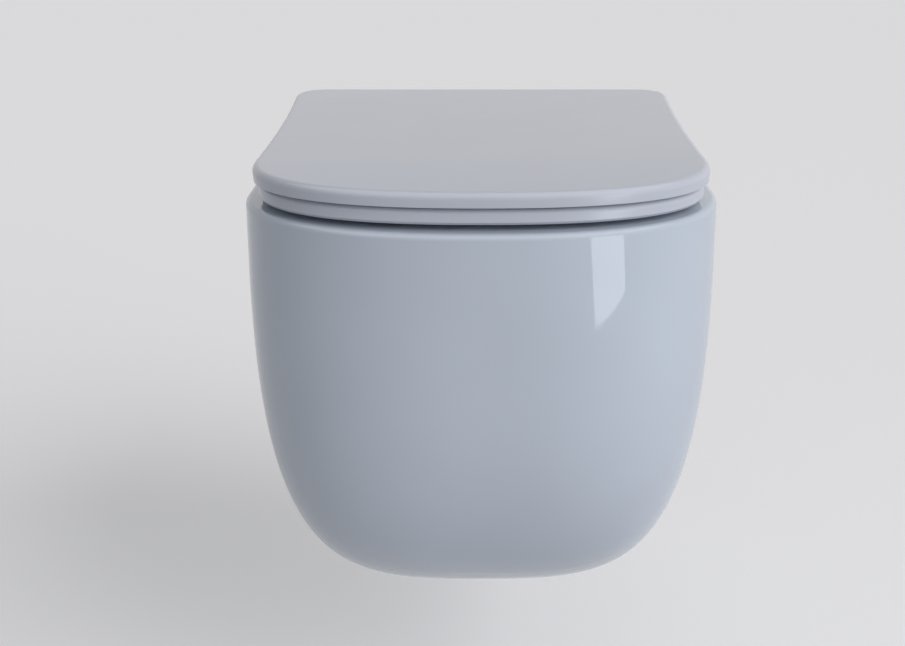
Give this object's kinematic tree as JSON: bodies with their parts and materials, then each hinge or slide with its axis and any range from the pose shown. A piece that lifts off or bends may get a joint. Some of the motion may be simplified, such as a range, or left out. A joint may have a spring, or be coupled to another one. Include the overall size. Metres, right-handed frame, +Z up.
{
  "type": "wall-hung toilet",
  "caption": "Wall-hung white ceramic toilet with a flat soft-close lid and seat ring on quick-release hinges, hidden wall fixings and a rear waste outlet.",
  "frame": {"origin": "midway between the two wall studs, on the wall's face", "axes": "+Z up, the wall is the plane y = 0 and the bowl's front points along -Y, X across"},
  "size_m": [0.372, 0.532, 0.3976],
  "materials": {
    "glazed_china": "high-gloss white glaze on vitreous china",
    "seat_plastic": "smooth satin-gloss white thermoset",
    "cap_plastic": "gloss white moulded cap",
    "zinc_block": "zinc-plated casting",
    "steel": "plain stainless steel",
    "hinge_metal": "satin chrome on zinc",
    "spring_steel": "bright spring wire",
    "button_plastic": "moulded acetal",
    "damper_plastic": "dark moulded damper body",
    "nylon": "natural nylon",
    "brass": "plain turned brass",
    "seal_rubber": "soft grey elastomer"
  },
  "bodies": {
    "bowl": {"ceramic_outer_body": "glazed_china", "ceramic_inner_bowl": "glazed_china", "ceramic_trapway": "glazed_china", "ceramic_flush_box": "glazed_china", "ceramic_rear_web": "glazed_china", "fixing_block_left": "zinc_block", "fixing_block_right": "zinc_block", "stud_washers": "steel", "stud_nuts": "steel", "clamp_screws": "steel", "side_cap_left": "cap_plastic", "side_cap_right": "cap_plastic", "hinge_gaskets": "seal_rubber", "hinge_plates": "steel", "hinge_studs": "steel", "fixing_plugs": "nylon", "plug_nuts": "brass"},
    "hinge_carriage": {"hinge_bracket_left": "hinge_metal", "hinge_bracket_right": "hinge_metal", "hinge_pin_left": "steel", "hinge_pin_right": "steel", "button_spring_left": "spring_steel", "button_spring_right": "spring_steel"},
    "left_button_slide": {"release_button_left": "button_plastic"},
    "right_button_slide": {"release_button_right": "button_plastic"},
    "seat": {"seat_ring": "seat_plastic", "seat_buffers": "seal_rubber", "seat_damper": "damper_plastic", "seat_bush": "nylon"},
    "cover": {"lid": "seat_plastic", "lid_buffers": "seal_rubber", "lid_damper": "damper_plastic", "lid_bush": "nylon"}
  },
  "joints": [
    {"name": "seat_lift_off", "type": "slide", "parent": "bowl", "child": "hinge_carriage", "axis": [0, 0, 1], "range_m": [0, 0.04]},
    {"name": "left_release_button", "type": "slide", "parent": "hinge_carriage", "child": "left_button_slide", "axis": [0, -1, 0], "range_m": [0, 0.002], "stiffness_N_per_m": 900, "springref_m": -0.001, "deforming": ["button_spring_left"]},
    {"name": "right_release_button", "type": "slide", "parent": "hinge_carriage", "child": "right_button_slide", "axis": [0, -1, 0], "range_m": [0, 0.002], "stiffness_N_per_m": 900, "springref_m": -0.001, "deforming": ["button_spring_right"]},
    {"name": "seat_hinge", "type": "hinge", "parent": "hinge_carriage", "child": "seat", "pos_m": [0, -0.101, 0.097], "axis": [-1, 0, 0], "range_deg": [0, 95]},
    {"name": "lid_hinge", "type": "hinge", "parent": "seat", "child": "cover", "pos_m": [0, -0.101, 0.097], "axis": [1, 0, 0], "range_deg": [-100, 0]}
  ]
}
